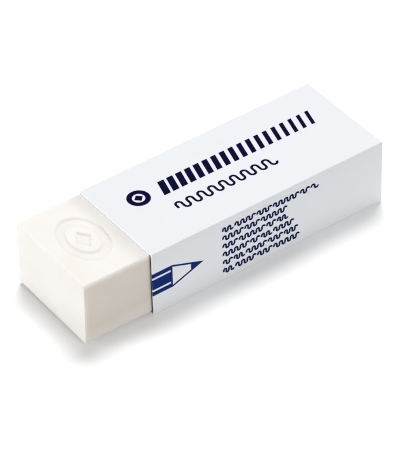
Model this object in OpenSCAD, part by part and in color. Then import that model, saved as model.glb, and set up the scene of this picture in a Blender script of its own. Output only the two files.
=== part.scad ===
// Vinyl eraser in a folded card sleeve.
//
// Two pieces: a cut length of extruded vinyl strip, and a sleeve folded from
// one strip of white board and glued underneath. The sleeve is open at both
// ends and the block slides in it with a little play, so it can be pushed
// out as it wears down.
//
// +X runs along the length towards the sleeve's far end, the rubbing end
// sticks out at -X, +Z is up, and the origin is under the middle of the
// whole eraser, in the plane that the sleeve's underside rests on.

/* [Vinyl block] */
// Length of the block, from cut end to cut end
block_len = 65; // [40:0.5:120]
// Width of the block
block_w = 21.3; // [12:0.1:40]
// Height of the block
block_h = 13.1; // [8:0.1:30]
// Radius of the four long edges, left by the extrusion die
long_edge_r = 0.3; // [0.2:0.1:2]
// Radius of the upper and lower edges of the cut ends
end_edge_r = 0.3; // [0.1:0.1:1]
// Radius of the upright edges of the cut ends
end_upright_r = 0.3; // [0.1:0.1:1]
// Angle by which the rubbing end is cut out of square in plan, in degrees
end_skew = 1; // [0:0.1:4]
// Angle by which the rubbing end leans back from upright, in degrees
end_lean = 1.2; // [0:0.1:4]
// Length of the block that sticks out of the sleeve's mouth, at its foot
exposed_len = 14.2; // [4:0.1:30]

/* [Card sleeve] */
// Length of the sleeve
sleeve_len = 51.3; // [25:0.1:100]
// Thickness of the board
card_t = 0.25; // [0.2:0.05:0.6]
// Radius inside the four creases; outside it is one board more
crease_inner_r = 0.05; // [0.05:0.05:0.5]
// Distance from the front panel to the glue flap's free edge under the block
flap_edge_gap = 4.5; // [0.5:0.5:8]
// Distance from the back crease to the bottom panel's free edge
bottom_edge_gap = 0.25; // [0.1:0.05:3]

/* [Fit] */
// Gap between the block and the front panel
front_gap = 0.35; // [0.1:0.05:1]
// Gap between the block and the back panel
back_gap = 0.05; // [0.05:0.05:1]
// Gap between the block and the top panel
top_gap = 0.05; // [0.05:0.05:0.5]
// Gap between the block and the glue flap that it lies on
floor_gap = 0.05; // [0.05:0.05:0.5]

/* [Hidden] */
$fn = 48;

vinyl_white = "#FAF7F0";
board_white = "#F3F5F7";

// The cut that rounds the upright edges starts this far in front of the end
// face, so that the face itself belongs to one cut only
upright_lead = 0.002;

// The sleeve is sized round the block. Its floor is two layers of board
// where the flap lies on the bottom panel.
floor_t = 2 * card_t;
inner_w = back_gap + block_w + front_gap;
inner_h = floor_gap + block_h + top_gap;
sleeve_w = inner_w + 2 * card_t;
sleeve_h = floor_t + inner_h + card_t;
crease_r = crease_inner_r + card_t;

// Places along X, from the middle of the whole eraser
rubbing_end_x = -(exposed_len + sleeve_len) / 2;
mouth_x = rubbing_end_x + exposed_len;

// Places across the sleeve, with the block nearer to the back panel
block_front_y = -sleeve_w / 2 + card_t + front_gap;
block_bottom_z = floor_t + floor_gap;

function unit(v) = v / norm(v);

// Polygon with its corners rounded by true arcs. Each corner is cut back to
// the two points where the arc touches its sides, and the arc's circle fills
// the cut.
module round_polygon(points, r) {
    count = len(points);
    corners = [for (i = [0 : count - 1])
        let (p = points[i],
             back = unit(points[(i + count - 1) % count] - p),
             on = unit(points[(i + 1) % count] - p),
             angle = acos(back * on))
        [p + back * r / tan(angle / 2), p + on * r / tan(angle / 2),
         p + (back + on) * r / sin(angle)]];
    polygon([for (c = corners) each [c[0], c[1]]]);
    for (c = corners) translate(c[2]) circle(r = r);
}

// Rectangle from (0, 0) to (w, h) with round corners.
module round_rect(w, h, r) {
    round_polygon([[0, 0], [w, 0], [w, h], [0, h]], r);
}

// Turns a section drawn in X-Y into a bar along +X, with the section's
// first axis along +Y and its second along +Z.
module bar_along_x(len) {
    rotate([90, 0, 90]) linear_extrude(len) children();
}

// Outline of the folded board's outer or inner face, seen along X: a
// rectangle with round corners whose bottom is one board lower as far as
// lap_y, where one of the seam's two layers ends. Drawn from the outline's
// lower front corner.
module lapped_outline(w, h, r, lap_y) {
    translate([0, card_t]) round_rect(w, h - card_t, r);
    intersection() {
        round_rect(w, h, r);
        square([lap_y, h]);
    }
}

// Section of the sleeve. Going round from the free edge: bottom panel, front
// panel, top panel, back panel, and the glue flap under the block, stuck
// down on the bottom panel.
module sleeve_section() {
    difference() {
        lapped_outline(sleeve_w, sleeve_h, crease_r, sleeve_w - crease_r - bottom_edge_gap);
        translate([card_t, card_t])
            lapped_outline(inner_w, inner_h + card_t, crease_inner_r, flap_edge_gap);
    }
}

module card_sleeve() {
    color(board_white)
        translate([mouth_x, -sleeve_w / 2, 0])
            bar_along_x(sleeve_len) sleeve_section();
}

// The extruded strip, with the die's round long edges.
module vinyl_strip() {
    bar_along_x(block_len) round_rect(block_w, block_h, long_edge_r);
}

// Everything behind the blade's cut at one end, with the cut's upright edges
// round. The blade comes down through the lower front corner at an angle in
// plan and leans back as it rises, and these edges lie along its slope.
module behind_upright_edges(skew, lean) {
    skew_x = block_w * tan(skew) * cos(lean);
    rotate([0, lean, 0])
        translate([-upright_lead, 0, -block_h]) linear_extrude(3 * block_h)
            round_polygon([[0, 0], [2 * block_len, 0], [2 * block_len, block_w], [skew_x, block_w]],
                          end_upright_r);
}

// Everything behind the same cut, with its upper and lower edges round.
module behind_level_edges(skew, lean) {
    lean_x = block_h * tan(lean) * cos(skew);
    rotate([90, 0, -skew])
        translate([0, 0, -2 * block_w]) linear_extrude(3 * block_w)
            round_polygon([[0, 0], [2 * block_len, 0], [2 * block_len, block_h], [lean_x, block_h]],
                          end_edge_r);
}

module eraser_block() {
    color(vinyl_white)
        translate([rubbing_end_x, block_front_y, block_bottom_z])
            intersection() {
                vinyl_strip();
                behind_upright_edges(end_skew, end_lean);
                behind_level_edges(end_skew, end_lean);
                translate([block_len, 0, 0]) mirror([1, 0, 0]) behind_upright_edges(0, 0);
                translate([block_len, 0, 0]) mirror([1, 0, 0]) behind_level_edges(0, 0);
            }
}

eraser_block();
card_sleeve();
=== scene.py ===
"""Looks of a vinyl eraser in a printed card sleeve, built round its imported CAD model."""
import math

import bmesh
import bpy
from bpy.props import FloatProperty, FloatVectorProperty, IntProperty, PointerProperty
from mathutils import Matrix, Vector


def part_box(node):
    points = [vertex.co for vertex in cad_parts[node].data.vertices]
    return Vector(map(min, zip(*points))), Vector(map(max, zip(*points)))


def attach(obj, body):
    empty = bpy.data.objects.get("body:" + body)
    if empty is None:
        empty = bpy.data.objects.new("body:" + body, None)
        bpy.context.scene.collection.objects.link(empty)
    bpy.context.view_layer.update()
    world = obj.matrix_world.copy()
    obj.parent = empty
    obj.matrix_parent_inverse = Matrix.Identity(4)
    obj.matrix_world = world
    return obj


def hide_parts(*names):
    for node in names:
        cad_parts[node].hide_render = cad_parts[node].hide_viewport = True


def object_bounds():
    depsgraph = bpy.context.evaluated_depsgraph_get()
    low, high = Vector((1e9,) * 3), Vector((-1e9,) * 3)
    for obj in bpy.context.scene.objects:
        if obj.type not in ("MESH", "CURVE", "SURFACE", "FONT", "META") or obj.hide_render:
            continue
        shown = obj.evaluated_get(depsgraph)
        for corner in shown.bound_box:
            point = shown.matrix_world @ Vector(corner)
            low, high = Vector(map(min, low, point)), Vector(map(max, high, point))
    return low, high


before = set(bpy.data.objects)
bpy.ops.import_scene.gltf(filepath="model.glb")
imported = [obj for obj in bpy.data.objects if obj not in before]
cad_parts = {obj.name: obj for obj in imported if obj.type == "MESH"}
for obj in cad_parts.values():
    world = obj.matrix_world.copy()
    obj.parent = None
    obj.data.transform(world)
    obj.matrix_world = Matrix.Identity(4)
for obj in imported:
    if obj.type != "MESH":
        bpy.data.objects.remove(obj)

bl_info = {
    "name": "Sleeved Eraser",
    "version": (1, 0, 0),
    "blender": (4, 5, 0),
    "location": "View3D > Sidebar > Eraser",
    "description": "Builds a vinyl block eraser in a printed card sleeve, and a studio for it",
    "category": "Object",
}

MM = 0.001

# The CAD model's boxes, straight after loading. Everything below is placed from them.
CAD_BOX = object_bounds()
BLOCK_LOW, BLOCK_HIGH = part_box("eraser_block")
SLEEVE_LOW, SLEEVE_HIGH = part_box("card_sleeve")
MOUTH_X = SLEEVE_LOW.x


def linear(hex_colour):
    """An sRGB hex colour, such as "#FAF7F0", as linear RGBA."""
    channels = [int(hex_colour[i:i + 2], 16) / 255 for i in (1, 3, 5)]
    return tuple(c / 12.92 if c <= 0.04045 else ((c + 0.055) / 1.055) ** 2.4 for c in channels) + (1.0,)


def length(name, description, millimetres):
    """A length property with its default given in millimetres."""
    return FloatProperty(name=name, description=description, default=millimetres * MM,
                         min=0.0, precision=5, subtype="DISTANCE", unit="LENGTH")


def angle(name, description, degrees):
    """An angle property with its default given in degrees."""
    return FloatProperty(name=name, description=description, default=math.radians(degrees),
                         subtype="ANGLE", unit="ROTATION")


def colour(name, description, hex_colour):
    """A colour property with its default given as an sRGB hex value."""
    return FloatVectorProperty(name=name, description=description, default=linear(hex_colour),
                               size=4, min=0.0, max=1.0, subtype="COLOR")


def number(name, description, value):
    """A plain number from 0 upwards."""
    return FloatProperty(name=name, description=description, default=value, min=0.0)


class VinylBlockSettings(bpy.types.PropertyGroup):
    """The block of vinyl."""

    long_edge: length("Long edge radius", "Radius that the extrusion die leaves along the block", 0.3)
    cut_edge: length("Cut edge radius", "Radius of the edges round the two cut ends", 0.15)
    skew: length("End skew", "How much longer the rubbing end is at the front", 0.37)
    lean: length("End lean", "How far the rubbing end's top is set back from its foot", 0.27)
    headroom: length("Headroom", "Gap that the soft block leaves under the sleeve's top panel", 0.004)
    mark_length: length("Mark length", "Length of the oval ring pressed into the top, along the block", 8.4)
    mark_width: length("Mark width", "Width of the pressed oval ring, across the block", 12.6)
    mark_band: length("Mark band", "Width of the pressed ring's band", 1.5)
    mark_diamond: length("Mark diamond", "Half the length of the pressed diamond", 1.5)
    mark_depth: length("Mark depth", "Depth of the pressed mark", 0.4)
    mark_wall: length("Mark wall", "Width over which the mark's soft walls slope down", 0.5)
    mark_inset: length("Mark inset", "Distance from the sleeve's mouth to the mark's centre", 6.5)
    mark_cuts: IntProperty(name="Mark cuts", description="Cuts across the pressed patch", default=90, min=20)
    # Painted light on the sides: these lengths set where the sides' painted shade gives way to painted light
    # near the top edge, the foot and the rubbing end.
    side_light_top: length("Side light top", "How far down the sides painted light takes over from their painted shade", 1.1)
    side_light_foot: length("Side light foot", "How far up the sides painted light thins their painted shade", 3.5)
    side_light_end: length("Side light end", "How far along the sides from the rubbing end painted light thins their painted shade", 1.3)
    tint: colour("Vinyl", "Colour of the top and the cut ends", "#E1DED9")
    # Painted shade: the sides' colour, darker and warmer than the top.
    shaded_side_tint: colour("Vinyl side shade", "Colour of the sides, darker and warmer as painted shade", "#C7BFB5")
    # Painted shade: a grey band across the top at the sleeve's mouth.
    mouth_shade: colour("Mouth shade", "Colour of the painted shade across the top at the sleeve's mouth", "#757B84")
    # Painted shade: a dark line on the sides in the gap at the sleeve's mouth.
    gap_shade: colour("Gap shade", "Colour of the line of painted shade on the sides in the gap at the mouth", "#2E2C2A")


class CardSleeveSettings(bpy.types.PropertyGroup):
    """The folded sleeve."""

    board: length("Board", "Thickness of the board", 0.25)
    crease: length("Crease radius", "Outer radius of the creases", 0.3)
    flap_gap: length("Flap gap", "From the front panel to the glue flap's free edge", 4.5)
    bottom_gap: length("Bottom gap", "From the back crease to the bottom panel's free edge", 0.25)
    glue: length("Glue line", "Hairline left between the two layers of the seam", 0.02)
    soft_edge: length("Soft edge", "Width of the rounding that handling gives the cut edges", 0.03)
    coated: colour("Coated face", "Colour of the board's coated outer face", "#D5D7DA")
    bare: colour("Bare face", "Colour of the board's uncoated inner face", "#B0ABA0")
    core: colour("Cut edge", "Colour of the board's cut edge", "#FFFFFD")


class PrintSettings(bpy.types.PropertyGroup):
    """The ink on the sleeve. Distances along the sleeve run from its mouth."""

    film: length("Ink film", "Height of the ink above the board", 0.012)
    inset: length("Print inset", "Bare strip between the sleeve's mouth and the print", 0.01)
    drag: length("Ink drag", "How far the cutting die drags ink round the mouth's edge", 0.17)
    ink_top: colour("Top ink", "Ink on the top panel", "#07062E")
    ink_side: colour("Pencil ink", "Ink of the pencil on the front panel", "#0F2662")
    ink_rows: colour("Row ink", "Ink of the rows on the front panel", "#0D1846")
    ring_x: length("Ring place", "Distance of the ring's centre along the sleeve", 7.3)
    ring_y: length("Ring height", "Distance of the ring's centre behind the middle line", 3.0)
    ring_radius: length("Ring radius", "Outer radius of the printed ring", 2.2)
    band_start: length("Band start", "Where the striped band starts", 11.4)
    band_length: length("Band length", "Length of the striped band", 35.0)
    band_low: length("Band base", "Distance of the band's base behind the middle line", 0.8)
    band_height: length("Band height", "Height of the striped band", 3.8)
    stripes: IntProperty(name="Stripes", description="Stripes in the band", default=18, min=2)
    scribble_length: length("Scribble length", "Length of the scribbled line", 21.6)
    scribble_low: length("Scribble base", "Distance of the scribble's base before the middle line", 4.2)
    scribble_height: length("Scribble height", "Height of the scribbled line", 2.6)
    scribble_stroke: length("Scribble stroke", "Width of the scribble's stroke", 0.5)
    scribble_turns: IntProperty(name="Scribble turns", description="Turns in the scribble", default=18, min=2)
    pencil_height: length("Pencil place", "Height of the pencil's middle on the front panel", 7.0)
    pencil_width: length("Pencil width", "Width of the pencil's barrel", 5.0)
    pencil_barrel: length("Pencil barrel", "Length of the barrel, from the mouth to the sharpened cone", 3.9)
    pencil_reach: length("Pencil reach", "Distance of the pencil's point from the mouth", 11.1)
    pencil_lead: length("Pencil lead", "Length of the pencil's dark point", 2.8)
    pencil_line: length("Pencil line", "Width of the pencil's lines and of the gaps in its barrel", 0.42)
    row_start: length("Row start", "Where the rows of small scribbles start", 15.4)
    row_top: length("Row top", "Height of the top row's base on the front panel", 11.1)
    row_pitch: length("Row pitch", "Distance from row to row", 1.88)
    row_height: length("Row height", "Height of a small scribble", 1.35)
    row_stroke: length("Row stroke", "Width of a small scribble's stroke", 0.42)
    row_turn: length("Row turn", "Distance from stroke to stroke in a small scribble", 0.62)
    row_gap: length("Row gap", "Gap between small scribbles", 0.5)


class StudioSettings(bpy.types.PropertyGroup):
    """Floor, lights and camera."""

    floor_radius: length("Floor radius", "Radius of the round floor", 4000.0)
    floor: colour("Floor", "Colour of the table's opal sheet", "#E7E7E7")
    backlight: number("Backlight", "Strength of the light that comes up through the table", 0.13)
    sky: number("Sky", "Strength of the even light from all round", 0.375)
    key: number("Key", "Power of the overhead softbox, in watts", 8.16)
    end_fill: number("End fill", "Power of the softbox at the rubbing end, in watts", 6.0)
    front_fill: number("Front fill", "Power of the wide softbox before the front panel, in watts", 3.7)
    azimuth: angle("Azimuth", "Turn of the view from +Y towards +X", 35.13)
    elevation: angle("Elevation", "Height of the camera above the horizon", 40.05)
    roll: angle("Roll", "Turn of the camera about its own axis", -1.73)
    distance: length("Distance", "Distance from the camera to the point it looks at", 584.3)
    lens: FloatProperty(name="Lens", description="Focal length in millimetres", default=261.5, min=1.0)


SETTINGS = {
    "vinyl_block": VinylBlockSettings,
    "card_sleeve": CardSleeveSettings,
    "sleeve_print": PrintSettings,
    "studio": StudioSettings,
}


# Materials

def per(millimetres):
    """Texture scale at which one feature is this many millimetres across."""
    return 1.0 / (millimetres * MM)


def add_node(tree, kind, settings=None, inputs=None):
    """Adds a node, sets its properties, and sets or links its inputs by name or number."""
    node = tree.nodes.new(kind)
    for name, value in (settings or {}).items():
        setattr(node, name, value)
    for name, value in (inputs or {}).items():
        if isinstance(value, bpy.types.NodeSocket):
            tree.links.new(value, node.inputs[name])
        else:
            node.inputs[name].default_value = value
    return node


def new_material(name):
    """An empty material, its node tree and its Object coordinates."""
    material = bpy.data.materials.new(name)
    material.use_nodes = True
    material.node_tree.nodes.clear()
    coordinates = add_node(material.node_tree, "ShaderNodeTexCoord")
    return material, material.node_tree, coordinates.outputs["Object"]


def noise(tree, vector, size, detail=3.0, roughness=0.5):
    """Noise with features of a size in millimetres."""
    node = add_node(tree, "ShaderNodeTexNoise", {}, {
        "Vector": vector, "Scale": per(size), "Detail": detail, "Roughness": roughness})
    return node.outputs["Fac"]


def stretched(tree, vector, scale):
    """Coordinates squeezed along some axes, so that a pattern on them runs out into streaks."""
    node = add_node(tree, "ShaderNodeMapping", {}, {"Vector": vector, "Scale": scale})
    return node.outputs["Vector"]


def ramp(tree, value, low, high, to_low=0.0, to_high=1.0):
    """A value mapped from one range to another and held within it."""
    node = add_node(tree, "ShaderNodeMapRange", {"clamp": True}, {
        "Value": value, "From Min": low, "From Max": high, "To Min": to_low, "To Max": to_high})
    return node.outputs["Result"]


def mix(tree, factor, first, second):
    """A blend of two colours."""
    node = add_node(tree, "ShaderNodeMix", {"data_type": "RGBA"}, {0: factor, 6: first, 7: second})
    return node.outputs[2]


def add_up(tree, first, second):
    """The sum of two values."""
    return add_node(tree, "ShaderNodeMath", {"operation": "ADD"}, {0: first, 1: second}).outputs[0]


def times(tree, value, *factors):
    """The product of several values."""
    for factor in factors:
        value = add_node(tree, "ShaderNodeMath", {"operation": "MULTIPLY"}, {0: value, 1: factor}).outputs[0]
    return value


def shade(tone, factor, lift=0.0):
    """A colour made darker or paler by a factor, and lifted from black."""
    return tuple(factor * c + lift for c in tone[:3]) + (1.0,)


def bump(tree, height, depth):
    """A bump whose full height is a depth in millimetres."""
    node = add_node(tree, "ShaderNodeBump", {}, {
        "Strength": 1.0, "Distance": depth * MM, "Height": height})
    return node.outputs["Normal"]


def surface(tree, inputs):
    """A Principled shader joined to the material's output."""
    shader = add_node(tree, "ShaderNodeBsdfPrincipled", {}, inputs)
    add_node(tree, "ShaderNodeOutputMaterial", {}, {"Surface": shader.outputs["BSDF"]})


# Range of facing_sideways over which the sides' painted light and shade take over from the look of the top
# and the ends
SIDE_BLEND = (0.3, 0.95)

# Painted shade across the block, in millimetres into the sleeve from its mouth: where each band starts,
# is full, begins to fade and has faded. What is left of the painted gap shade then thins out to the end of
# its tail.
MOUTH_SHADE_BAND = (-3.6, -0.4, 0.5, 4.0)
GAP_SHADE_LINE = (-0.06, 0.05, 0.25, 0.6)
GAP_SHADE_TAIL_END = 2.6


def facing_sideways(tree):
    """How far a face turns to the front or the back: 0 on the top and the ends, 1 on the sides."""
    normal = tree.nodes["Texture Coordinate"].outputs["Normal"]
    split = add_node(tree, "ShaderNodeSeparateXYZ", {}, {"Vector": normal})
    return add_node(tree, "ShaderNodeMath", {"operation": "ABSOLUTE"}, {0: split.outputs["Y"]}).outputs[0]


def mark_across(tree, along, places, tail=0.0):
    """A mask for a mark across the block at the mouth, which fades to a tail."""
    start, full, fade, faded = (MOUTH_X + place * MM for place in places)
    return times(tree, ramp(tree, along, start, full), ramp(tree, along, fade, faded, 1.0, tail))


def painted_side_shade(tree, settings, along, height):
    """How much painted shade the sides get: all of it, but less near their top edge, foot and rubbing end,
    where painted light takes over.
    """
    top = ramp(tree, height, BLOCK_HIGH.z, BLOCK_HIGH.z - settings.side_light_top)
    foot = ramp(tree, height, BLOCK_LOW.z, BLOCK_LOW.z + settings.side_light_foot, to_low=0.3)
    end = ramp(tree, along, BLOCK_LOW.x, BLOCK_LOW.x + settings.side_light_end, to_low=0.4)
    return times(tree, top, foot, end)


def plasticised_vinyl(settings):
    """Soft chalk-filled PVC, extruded and cut: matt, a little milky, with the die's fine lines along it.
    The sides are greyer and warmer with painted shade, which gives way to painted light along their edges.
    Painted shade also lies in a soft grey band across the top at the sleeve's mouth, and as a dark line on
    the sides in the gap at the mouth."""
    material, tree, place = new_material("plasticised_vinyl")
    split = add_node(tree, "ShaderNodeSeparateXYZ", {}, {"Vector": place})
    along, height = split.outputs["X"], split.outputs["Z"]
    sideways = facing_sideways(tree)
    on_side = ramp(tree, sideways, *SIDE_BLEND)
    # Painted shade on the sides, which gives way to painted light near their edges. The cloud is random tone.
    side_shading = times(tree, on_side, painted_side_shade(tree, settings, along, height))
    cloud = ramp(tree, noise(tree, place, size=7.0, detail=2.0), 0.35, 0.65, to_high=0.12)
    tone = mix(tree, add_up(tree, side_shading, cloud), tuple(settings.tint), tuple(settings.shaded_side_tint))

    # Painted shade: a soft grey band across the top at the sleeve's mouth.
    on_top = ramp(tree, sideways, 0.2, 0.8, to_low=0.25, to_high=0.0)
    mouth_shade = times(tree, mark_across(tree, along, MOUTH_SHADE_BAND), on_top)
    tone = mix(tree, mouth_shade, tone, tuple(settings.mouth_shade))

    # Painted shade: a dark, patchy line on the sides in the gap at the mouth, fading into the sleeve.
    patchy = ramp(tree, noise(tree, place, size=2.5, detail=2.0), 0.35, 0.6, to_low=0.75)
    fading = ramp(tree, along, MOUTH_X + GAP_SHADE_LINE[-1] * MM, MOUTH_X + GAP_SHADE_TAIL_END * MM,
                    to_low=0.85, to_high=0.0)
    gap_shade = times(tree, mark_across(tree, along, GAP_SHADE_LINE, tail=0.3), fading, patchy, on_side)
    tone = mix(tree, gap_shade, tone, tuple(settings.gap_shade))

    die_lines = noise(tree, stretched(tree, place, (0.03, 1.0, 1.0)), size=0.35, detail=2.0)
    grain = noise(tree, place, size=0.16, detail=4.0, roughness=0.6)
    relief = add_up(tree, times(tree, die_lines, 0.5), times(tree, grain, 0.5))
    surface(tree, {
        "Base Color": tone,
        "Roughness": ramp(tree, grain, 0.3, 0.7, to_low=0.52, to_high=0.62),
        "IOR": 1.53,
        "Specular IOR Level": 0.35,
        "Subsurface Weight": 0.25,
        "Subsurface Radius": (1.0, 0.8, 0.6),
        "Subsurface Scale": 0.45 * MM,
        "Normal": bump(tree, relief, 0.012),
    })
    return material


def coated_board(settings):
    """Clay-coated folding board: a smooth cool white with a satin sheen and a trace of fibre.
    The side panels carry painted light and shade: paler towards the foot and darker towards the top."""
    material, tree, place = new_material("coated_board")
    height = add_node(tree, "ShaderNodeSeparateXYZ", {}, {"Vector": place}).outputs["Z"]
    mottle = ramp(tree, noise(tree, place, size=1.6, detail=4.0, roughness=0.6), 0.3, 0.7)
    fibre = noise(tree, stretched(tree, place, (0.35, 1.0, 1.0)), size=0.22, detail=4.0, roughness=0.6)
    tone = tuple(settings.coated)
    top = mix(tree, mottle, tone, shade(tone, 0.985))
    # Painted light and shade: the side panels are paler at the foot and darker at the top.
    foot, shoulder = shade(tone, 1.06), shade(tone, 0.92)
    side = mix(tree, ramp(tree, height, SLEEVE_LOW.z, SLEEVE_HIGH.z), foot, shoulder)
    surface(tree, {
        "Base Color": mix(tree, ramp(tree, facing_sideways(tree), *SIDE_BLEND), top, side),
        "Roughness": ramp(tree, fibre, 0.3, 0.7, to_low=0.4, to_high=0.5),
        "IOR": 1.5,
        "Specular IOR Level": 0.4,
        "Normal": bump(tree, fibre, 0.003),
    })
    return material


def bare_board(settings):
    """The board's uncoated inside: greyer and matt, with the fibres lying along the sleeve."""
    material, tree, place = new_material("bare_board")
    fibre = noise(tree, stretched(tree, place, (0.15, 1.0, 1.0)), size=0.3, detail=5.0, roughness=0.65)
    tone = tuple(settings.bare)
    surface(tree, {
        "Base Color": mix(tree, ramp(tree, fibre, 0.35, 0.65), tone, shade(tone, 0.88)),
        "Roughness": 0.85,
        "IOR": 1.5,
        "Specular IOR Level": 0.2,
        "Normal": bump(tree, fibre, 0.02),
    })
    return material


def cut_board_edge(settings):
    """The board's guillotined edge: pale pulp between two skins, slightly torn."""
    material, tree, place = new_material("cut_board_edge")
    pulp = noise(tree, place, size=0.09, detail=4.0, roughness=0.7)
    tone = tuple(settings.core)
    surface(tree, {
        "Base Color": mix(tree, ramp(tree, pulp, 0.4, 0.75), tone, shade(tone, 0.93)),
        "Roughness": 0.9,
        "IOR": 1.5,
        "Specular IOR Level": 0.2,
        "Normal": bump(tree, pulp, 0.02),
    })
    return material


def offset_ink(name, tone):
    """Offset ink sunk into the coating: dense and even, with the least trace of mottle."""
    material, tree, place = new_material(name)
    mottle = ramp(tree, noise(tree, place, size=0.35, detail=4.0, roughness=0.6), 0.35, 0.75)
    surface(tree, {
        "Base Color": mix(tree, mottle, tone, shade(tone, 1.25, lift=0.002)),
        "Roughness": 0.55,
        "IOR": 1.5,
        "Specular IOR Level": 0.01,
    })
    return material


def opal_acrylic(settings):
    """The matt opal sheet of a light table: the light from below softens the contact shadow."""
    material, tree, _ = new_material("opal_acrylic")
    surface(tree, {"Base Color": tuple(settings.floor), "Roughness": 1.0, "Specular IOR Level": 0.0,
                   "Emission Color": (1.0, 1.0, 1.0, 1.0), "Emission Strength": settings.backlight})
    return material


# Building

# A face counts as level when its normal's Z is above this
LEVEL = 0.999


def make_object(name, bm, materials):
    """Turns a bmesh into an object at the origin, wearing the materials in order."""
    mesh = bpy.data.meshes.new(name)
    bm.to_mesh(mesh)
    bm.free()
    piece = bpy.data.objects.new(name, mesh)
    bpy.context.scene.collection.objects.link(piece)
    for material in materials:
        mesh.materials.append(material)
    return piece


def smooth_flats(piece):
    """Smooth shading that leaves the flat faces flat."""
    for face in piece.data.polygons:
        face.use_smooth = True
    weigh = piece.modifiers.new("Flat faces stay flat", "WEIGHTED_NORMAL")
    weigh.weight = 100


def bevel(bm, geometry, radius, segments, affect="EDGES"):
    """Rounds edges or corners with a circular profile."""
    bmesh.ops.bevel(bm, geom=geometry, offset=radius, offset_type="OFFSET", segments=segments,
                    profile=0.5, affect=affect, material=-1, clamp_overlap=True)


def smooth_step(x):
    """0 up to x = 0, 1 from x = 1, and an even S between."""
    x = min(max(x, 0.0), 1.0)
    return x * x * (3.0 - 2.0 * x)


def cut_top(bm, point, normal):
    """Cuts the block's top face, and nothing else, along a plane."""
    faces = [f for f in bm.faces if f.normal.z > LEVEL]
    edges = {e for f in faces for e in f.edges}
    verts = {v for f in faces for v in f.verts}
    bmesh.ops.bisect_plane(bm, geom=[*faces, *edges, *verts], plane_co=point, plane_no=normal, dist=1e-7)


def block_top(scene):
    """Height of the block's top, close under the sleeve's top panel."""
    return SLEEVE_HIGH.z - scene.card_sleeve.board - scene.vinyl_block.headroom


def press_mark(bm, settings, top):
    """Presses an oval ring round a diamond into the block's top, with soft walls."""
    centre = Vector((MOUTH_X - settings.mark_inset, (BLOCK_LOW.y + BLOCK_HIGH.y) / 2, top))
    squash = settings.mark_length / settings.mark_width
    reach_x = settings.mark_length / 2 + settings.mark_wall
    reach_y = reach_x / squash
    for side in (-1, 1):
        cut_top(bm, centre + Vector((side * reach_x, 0, 0)), (1, 0, 0))
        cut_top(bm, centre + Vector((0, side * reach_y, 0)), (0, 1, 0))
    patch = min((f for f in bm.faces if f.normal.z > LEVEL),
                key=lambda f: (f.calc_center_median() - centre).length)
    bmesh.ops.subdivide_edges(bm, edges=patch.edges, cuts=settings.mark_cuts, use_grid_fill=True)
    middle = (settings.mark_length - settings.mark_band) / 2
    for vert in bm.verts:
        x, y, z = vert.co - centre
        if abs(z) > 1e-6 or abs(x) > reach_x or abs(y) > reach_y:
            continue
        outside_ring = abs(math.hypot(x, y * squash) - middle) - settings.mark_band / 2
        outside_diamond = (abs(x) + abs(y * squash) - settings.mark_diamond) / math.sqrt(2)
        outside = min(outside_ring, outside_diamond)
        vert.co.z -= settings.mark_depth * smooth_step(0.5 - outside / settings.mark_wall)


class ERASER_OT_vinyl_block(bpy.types.Operator):
    """Build the vinyl block, with its rounded edges and pressed mark"""

    bl_idname = "eraser.vinyl_block"
    bl_label = "Vinyl block"

    def execute(self, context):
        settings = context.scene.vinyl_block
        bm = bmesh.new()
        high = Vector((BLOCK_HIGH.x, BLOCK_HIGH.y, block_top(context.scene)))
        size = high - BLOCK_LOW
        place = Matrix.Translation((BLOCK_LOW + high) / 2) @ Matrix.Diagonal((*size, 1.0))
        bmesh.ops.create_cube(bm, size=1.0, matrix=place)
        end_back = [v for v in bm.verts if v.co.x < 0 < v.co.y]
        bmesh.ops.translate(bm, verts=end_back, vec=(settings.skew, 0, 0))
        end_top = [v for v in bm.verts if v.co.x < 0 and v.co.z > size.z / 2]
        bmesh.ops.translate(bm, verts=end_top, vec=(settings.lean, 0, 0))
        long_edges = [e for e in bm.edges if abs(e.verts[0].co.x - e.verts[1].co.x) > size.x / 2]
        bevel(bm, long_edges, settings.long_edge, segments=8)
        bm.normal_update()
        end_edges = {e for f in bm.faces if abs(f.normal.x) > 0.9 for e in f.edges}
        bevel(bm, list(end_edges), settings.cut_edge, segments=6)
        bm.normal_update()
        press_mark(bm, settings, high.z)
        # The mark's fine patch leaves hundreds of corners along the edges of the flat faces round it.
        many_sided = [f for f in bm.faces if len(f.verts) > 4]
        bmesh.ops.triangulate(bm, faces=many_sided, ngon_method="BEAUTY")
        piece = make_object("vinyl_block", bm, [plasticised_vinyl(settings)])
        smooth_flats(piece)
        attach(piece, "block")
        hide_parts("eraser_block")
        return {"FINISHED"}


# The sleeve's materials by number, after the coated face
BARE_FACE, PULP = 1, 2


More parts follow.
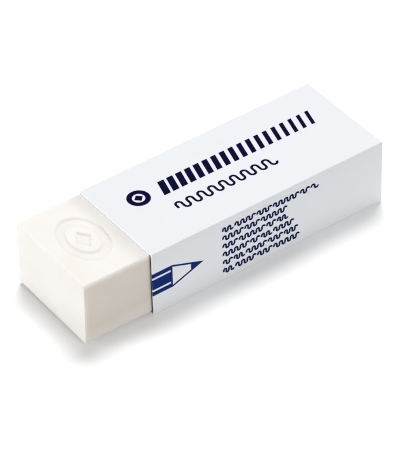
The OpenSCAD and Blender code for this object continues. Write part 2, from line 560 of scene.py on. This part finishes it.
class ERASER_OT_card_sleeve(bpy.types.Operator):
    """Crease a strip of board into the sleeve and give it its thickness"""

    bl_idname = "eraser.card_sleeve"
    bl_label = "Card sleeve"

    def execute(self, context):
        settings = context.scene.card_sleeve
        front, back = SLEEVE_LOW.y, SLEEVE_HIGH.y
        bottom, top = SLEEVE_LOW.z, SLEEVE_HIGH.z
        lap = bottom + settings.board + settings.glue
        free_edge = back - settings.crease - settings.bottom_gap
        flap_edge = front + settings.board + settings.flap_gap
        # Round the outer face, from the bottom panel's free edge to the flap's.
        outline = [(free_edge, bottom), (front, bottom), (front, top),
                   (back, top), (back, lap), (flap_edge, lap)]
        bm = bmesh.new()
        corners = [bm.verts.new((MOUTH_X, y, z)) for y, z in outline]
        strip = [bm.edges.new(pair) for pair in zip(corners, corners[1:])]
        drawn = bmesh.ops.extrude_edge_only(bm, edges=strip)["geom"]
        moved = [v for v in drawn if isinstance(v, bmesh.types.BMVert)]
        bmesh.ops.translate(bm, verts=moved, vec=(SLEEVE_HIGH.x - MOUTH_X, 0, 0))
        creases = [e for e in bm.edges if len(e.link_faces) == 2]
        bevel(bm, creases, settings.crease, segments=8)
        bmesh.ops.recalc_face_normals(bm, faces=bm.faces)
        top_face = max(bm.faces, key=lambda f: f.calc_center_median().z)
        if top_face.normal.z < 0:
            bmesh.ops.reverse_faces(bm, faces=bm.faces)
        materials = [coated_board(settings), bare_board(settings), cut_board_edge(settings)]
        piece = make_object("folded_sleeve", bm, materials)
        thicken = piece.modifiers.new("Board thickness", "SOLIDIFY")
        thicken.thickness = settings.board
        thicken.offset = -1.0
        thicken.use_even_offset = True
        thicken.material_offset = BARE_FACE
        thicken.material_offset_rim = PULP
        soften = piece.modifiers.new("Soft cut edges", "BEVEL")
        soften.width = settings.soft_edge
        soften.segments = 2
        soften.limit_method = "ANGLE"
        soften.angle_limit = math.radians(50)
        soften.material = PULP
        smooth_flats(piece)
        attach(piece, "sleeve")
        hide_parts("card_sleeve")
        return {"FINISHED"}


# Print. Shapes are drawn on a panel's own plane, along and up from its reference point.

# The ring's band and half the diamond in it, as shares of the ring's outer radius
RING_BAND = 0.46
DIAMOND = 0.42

# The first stripe's share of the pitch, and how much of it is gone by the last
FIRST_STRIPE = 0.72
STRIPE_LOSS = 0.32
STRIPE_SLANT = 0.28  # of the band's height
STRIPE_CORNER = 0.06 * MM

# A side bar's share of the pencil's width
SIDE_BAR = 0.19

# Millimetres: the rows from top to bottom, and the small scribbles that fill them in turn
ROW_LENGTHS = (21.2, 14.4, 14.9, 16.2, 16.5, 17.2)
SCRIBBLE_LENGTHS = (2.2, 4.4, 3.1, 5.6, 1.9)


def top_panel():
    """Plane of the top panel: along from the mouth, up towards the back, from the middle line."""
    return Matrix.Translation((MOUTH_X, 0, SLEEVE_HIGH.z))


def front_panel():
    """Plane of the front panel: along from the mouth, up from the bottom."""
    turn = Matrix.Rotation(math.radians(90), 4, "X")
    return Matrix.Translation((MOUTH_X, SLEEVE_LOW.y, SLEEVE_LOW.z)) @ turn


def cut_edge():
    """Plane of the front panel's cut edge at the mouth: along from its outer face, up from the bottom."""
    turn = Matrix.Rotation(math.radians(-90), 4, "Z") @ Matrix.Rotation(math.radians(90), 4, "X")
    return Matrix.Translation((MOUTH_X, SLEEVE_LOW.y, SLEEVE_LOW.z)) @ turn


def draw_shape(bm, points, radius=0.0):
    """Draws a filled outline, its corners rounded."""
    corners = [bm.verts.new((x, y, 0)) for x, y in points]
    bm.faces.new(corners)
    if radius > 0:
        bevel(bm, corners, radius, segments=6, affect="VERTICES")


def draw_outlines(bm, outlines):
    """Fills the first outline, with the others as holes in it."""
    edges = []
    for outline in outlines:
        corners = [bm.verts.new((x, y, 0)) for x, y in outline]
        edges += [bm.edges.new(pair) for pair in zip(corners, [*corners[1:], corners[0]])]
    bmesh.ops.triangle_fill(bm, edges=edges, use_beauty=True)


def draw_bar(bm, x, y, long, high, slant=0.0, radius=0.0):
    """Draws a bar from its lower left corner, leaning forward by a slant."""
    draw_shape(bm, [(x, y), (x + long, y), (x + long + slant, y + high), (x + slant, y + high)], radius)


def draw_ring(bm, x, y, radius, band, steps=72):
    """Draws a ring by spinning a short line round its centre."""
    ends = [bm.verts.new((x + r, y, 0)) for r in (radius - band, radius)]
    line = bm.edges.new(ends)
    bmesh.ops.spin(bm, geom=[*ends, line], cent=(x, y, 0), axis=(0, 0, 1), angle=math.tau,
                   steps=steps, use_merge=True, use_duplicate=False)


def draw_scribble(bm, x, y, long, high, stroke, turns):
    """Sweeps a short line up and down, with half a turn at each end."""
    radius = long / turns / 2
    ends = [bm.verts.new((x + side * stroke / 2, y + radius, 0)) for side in (-1, 1)]
    swept = [*ends, bm.edges.new(ends)]
    for turn in range(turns):
        way = 1 if turn % 2 == 0 else -1
        edges = [g for g in swept if isinstance(g, bmesh.types.BMEdge)]
        swept = bmesh.ops.extrude_edge_only(bm, edges=edges)["geom"]
        edges = [g for g in swept if isinstance(g, bmesh.types.BMEdge) and not g.link_faces[1:]]
        line = [e for e in edges if all(v in swept for v in e.verts)]
        verts = [g for g in swept if isinstance(g, bmesh.types.BMVert)]
        bmesh.ops.translate(bm, verts=verts, vec=(0, way * (high - 2 * radius - stroke), 0))
        centre = (x + (2 * turn + 1) * radius, verts[0].co.y, 0)
        swept = bmesh.ops.spin(bm, geom=[*verts, *line], cent=centre, axis=(0, 0, 1),
                               angle=-way * math.pi, steps=10)["geom_last"]


def raise_film(bm, film):
    """Turns the drawn shapes into a thin closed film that reaches a little into the board."""
    bmesh.ops.translate(bm, verts=bm.verts, vec=(0, 0, -film))
    lifted = bmesh.ops.extrude_face_region(bm, geom=list(bm.faces), use_keep_orig=True)["geom"]
    upper = [g for g in lifted if isinstance(g, bmesh.types.BMVert)]
    bmesh.ops.translate(bm, verts=upper, vec=(0, 0, 2 * film))
    bmesh.ops.recalc_face_normals(bm, faces=bm.faces)


def print_piece(name, bm, panel, film, ink):
    """Lays the drawn shapes on a panel as ink that rides with the sleeve."""
    raise_film(bm, film)
    bmesh.ops.transform(bm, matrix=panel, verts=bm.verts)
    piece = make_object(name, bm, [ink])
    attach(piece, "sleeve")
    return piece


class ERASER_OT_top_print(bpy.types.Operator):
    """Print the top panel: a ring round a diamond, a striped band and a scribble"""

    bl_idname = "eraser.top_print"
    bl_label = "Top print"

    def execute(self, context):
        s = context.scene.sleeve_print
        ink = offset_ink("offset_ink_top", tuple(s.ink_top))
        bm = bmesh.new()
        draw_ring(bm, s.ring_x, s.ring_y, s.ring_radius, RING_BAND * s.ring_radius)
        half = DIAMOND * s.ring_radius
        draw_shape(bm, [(s.ring_x + half * x, s.ring_y + half * y)
                        for x, y in ((1, 0), (0, 1), (-1, 0), (0, -1))])
        print_piece("print_ring", bm, top_panel(), s.film, ink)

        bm = bmesh.new()
        pitch = s.band_length / s.stripes
        for stripe in range(s.stripes):
            width = pitch * (FIRST_STRIPE - STRIPE_LOSS * stripe / (s.stripes - 1))
            draw_bar(bm, s.band_start + stripe * pitch, s.band_low, width, s.band_height,
                     STRIPE_SLANT * s.band_height, STRIPE_CORNER)
        print_piece("print_band", bm, top_panel(), s.film, ink)

        bm = bmesh.new()
        draw_scribble(bm, s.band_start, -s.scribble_low, s.scribble_length, s.scribble_height,
                      s.scribble_stroke, s.scribble_turns)
        print_piece("print_scribble", bm, top_panel(), s.film, ink)
        return {"FINISHED"}


def barrel_bars(s):
    """The three bars of the pencil's barrel, each as its lower and upper edge."""
    half = s.pencil_width / 2
    side_bar = SIDE_BAR * s.pencil_width
    inner = half - side_bar - s.pencil_line
    return (-half, side_bar - half), (-inner, inner), (half - side_bar, half)


def draw_pencil(bm, s):
    """Draws a pencil that comes out of the mouth: three bars for its barrel, a collar, an outlined cone
    and a dark point."""
    half = s.pencil_width / 2
    comb = []
    for low, high in reversed(barrel_bars(s)):
        comb += [(s.pencil_barrel, high), (s.inset, high), (s.inset, low), (s.pencil_barrel, low)]
    base = s.pencil_barrel + s.pencil_line
    outline = [(base, half), *comb[1:-1], (base, -half), (s.pencil_reach, 0)]
    tip = s.pencil_reach - s.pencil_lead
    open_tip = s.pencil_lead * half / (s.pencil_reach - base) - s.pencil_line
    open_base = half - s.pencil_line
    wood = [(base, open_base), (base, -open_base), (tip, -open_tip), (tip, open_tip)]
    draw_outlines(bm, [outline, wood])
    bmesh.ops.translate(bm, verts=bm.verts, vec=(0, s.pencil_height, 0))


class ERASER_OT_side_print(bpy.types.Operator):
    """Print the front panel: a pencil and six rows of small scribbles"""

    bl_idname = "eraser.side_print"
    bl_label = "Side print"

    def execute(self, context):
        s = context.scene.sleeve_print
        bm = bmesh.new()
        draw_pencil(bm, s)
        ink = offset_ink("offset_ink_pencil", tuple(s.ink_side))
        print_piece("print_pencil", bm, front_panel(), s.film, ink)
        bm = bmesh.new()
        for low, high in barrel_bars(s):
            draw_bar(bm, -s.drag, s.pencil_height + low, s.drag, high - low)
        print_piece("print_pencil_edge", bm, cut_edge(), s.film, ink)

        bm = bmesh.new()
        for row, row_length in enumerate(ROW_LENGTHS):
            x, turn = 0.0, row
            base = s.row_top - row * s.row_pitch
            while row_length * MM - x > 2 * s.row_turn:
                long = min(SCRIBBLE_LENGTHS[turn % len(SCRIBBLE_LENGTHS)] * MM, row_length * MM - x)
                turns = max(round(long / s.row_turn), 2)
                draw_scribble(bm, s.row_start + x, base, long, s.row_height, s.row_stroke, turns)
                x += long + s.row_gap
                turn += 1
        ink = offset_ink("offset_ink_rows", tuple(s.ink_rows))
        print_piece("print_rows", bm, front_panel(), s.film, ink)
        return {"FINISHED"}


# Each softbox's setting, its width in metres, and the way to it from the eraser
SOFTBOXES = (
    ("key", 0.42, (0.28, 0.3, 1.0)),
    ("end_fill", 0.4, (-1.0, 0.5, 0.15)),
    ("front_fill", 0.8, (0.1, -1.0, 0.35)),
)

# The point that the camera looks at
AIM = Vector((-2.25, -2.87, 7.0)) * MM


def softbox(name, size, power, direction, target):
    """A round softbox a metre from its target."""
    light = bpy.data.lights.new(name, "AREA")
    light.shape = "DISK"
    light.size = size
    light.energy = power
    lamp = bpy.data.objects.new(name, light)
    lamp.location = target + direction.normalized()
    lamp.rotation_mode = "QUATERNION"
    lamp.rotation_quaternion = (-direction).to_track_quat("-Z", "Y")
    bpy.context.scene.collection.objects.link(lamp)


class ERASER_OT_studio(bpy.types.Operator):
    """Set out the light table, the soft lights and the camera"""

    bl_idname = "eraser.studio"
    bl_label = "Studio"

    def execute(self, context):
        scene = context.scene
        s = scene.studio
        bm = bmesh.new()
        bmesh.ops.create_circle(bm, cap_ends=True, segments=96, radius=s.floor_radius)
        floor = make_object("light_table", bm, [opal_acrylic(s)])

        scene.world = bpy.data.worlds.new("soft_sky")
        scene.world.use_nodes = True
        sky = scene.world.node_tree.nodes["Background"]
        sky.inputs["Color"].default_value = (1.0, 1.0, 1.0, 1.0)
        sky.inputs["Strength"].default_value = s.sky
        middle = (CAD_BOX[0] + CAD_BOX[1]) / 2
        for name, size, direction in SOFTBOXES:
            softbox(name + "_softbox", size, getattr(s, name), Vector(direction), middle)

        forward = Vector((math.sin(s.azimuth) * math.cos(s.elevation),
                          math.cos(s.azimuth) * math.cos(s.elevation), -math.sin(s.elevation)))
        camera_data = bpy.data.cameras.new("camera")
        camera_data.sensor_width = 36.0
        camera_data.lens = s.lens
        camera_data.clip_start = 0.01
        camera = bpy.data.objects.new("camera", camera_data)
        level = forward.to_track_quat("-Z", "Y").to_matrix().to_4x4()
        camera.matrix_world = (Matrix.Translation(AIM - forward * s.distance) @ level
                               @ Matrix.Rotation(s.roll, 4, "Z"))
        scene.collection.objects.link(camera)
        scene.camera = camera
        scene.view_settings.view_transform = "Standard"
        # Edges a little crisper than the default filter gives them
        scene.cycles.filter_width = 1.1
        return {"FINISHED"}


class VIEW3D_PT_eraser(bpy.types.Panel):
    """Sizes and colours of the eraser, with a button for each piece"""

    bl_label = "Sleeved Eraser"
    bl_idname = "VIEW3D_PT_eraser"
    bl_space_type = "VIEW_3D"
    bl_region_type = "UI"
    bl_category = "Eraser"

    def draw(self, context):
        for group, operators in PANEL_ROWS.items():
            box = self.layout.box()
            for name in operators:
                box.operator(name)
            settings = getattr(context.scene, group)
            for name in settings.bl_rna.properties.keys():
                if name not in ("rna_type", "name"):
                    box.prop(settings, name)


PANEL_ROWS = {
    "vinyl_block": ["eraser.vinyl_block"],
    "card_sleeve": ["eraser.card_sleeve"],
    "sleeve_print": ["eraser.top_print", "eraser.side_print"],
    "studio": ["eraser.studio"],
}

CLASSES = (*SETTINGS.values(), ERASER_OT_vinyl_block, ERASER_OT_card_sleeve, ERASER_OT_top_print,
           ERASER_OT_side_print, ERASER_OT_studio, VIEW3D_PT_eraser)


def register():
    """Registers the classes and gives the scene its settings."""
    for cls in CLASSES:
        bpy.utils.register_class(cls)
    for name, group in SETTINGS.items():
        setattr(bpy.types.Scene, name, PointerProperty(type=group))


def unregister():
    """Takes the settings off the scene and unregisters the classes."""
    for name in SETTINGS:
        delattr(bpy.types.Scene, name)
    for cls in reversed(CLASSES):
        bpy.utils.unregister_class(cls)


def main():
    """Builds every piece and the studio."""
    register()
    bpy.ops.eraser.vinyl_block()
    bpy.ops.eraser.card_sleeve()
    bpy.ops.eraser.top_print()
    bpy.ops.eraser.side_print()
    bpy.ops.eraser.studio()


if __name__ == "__main__":
    main()
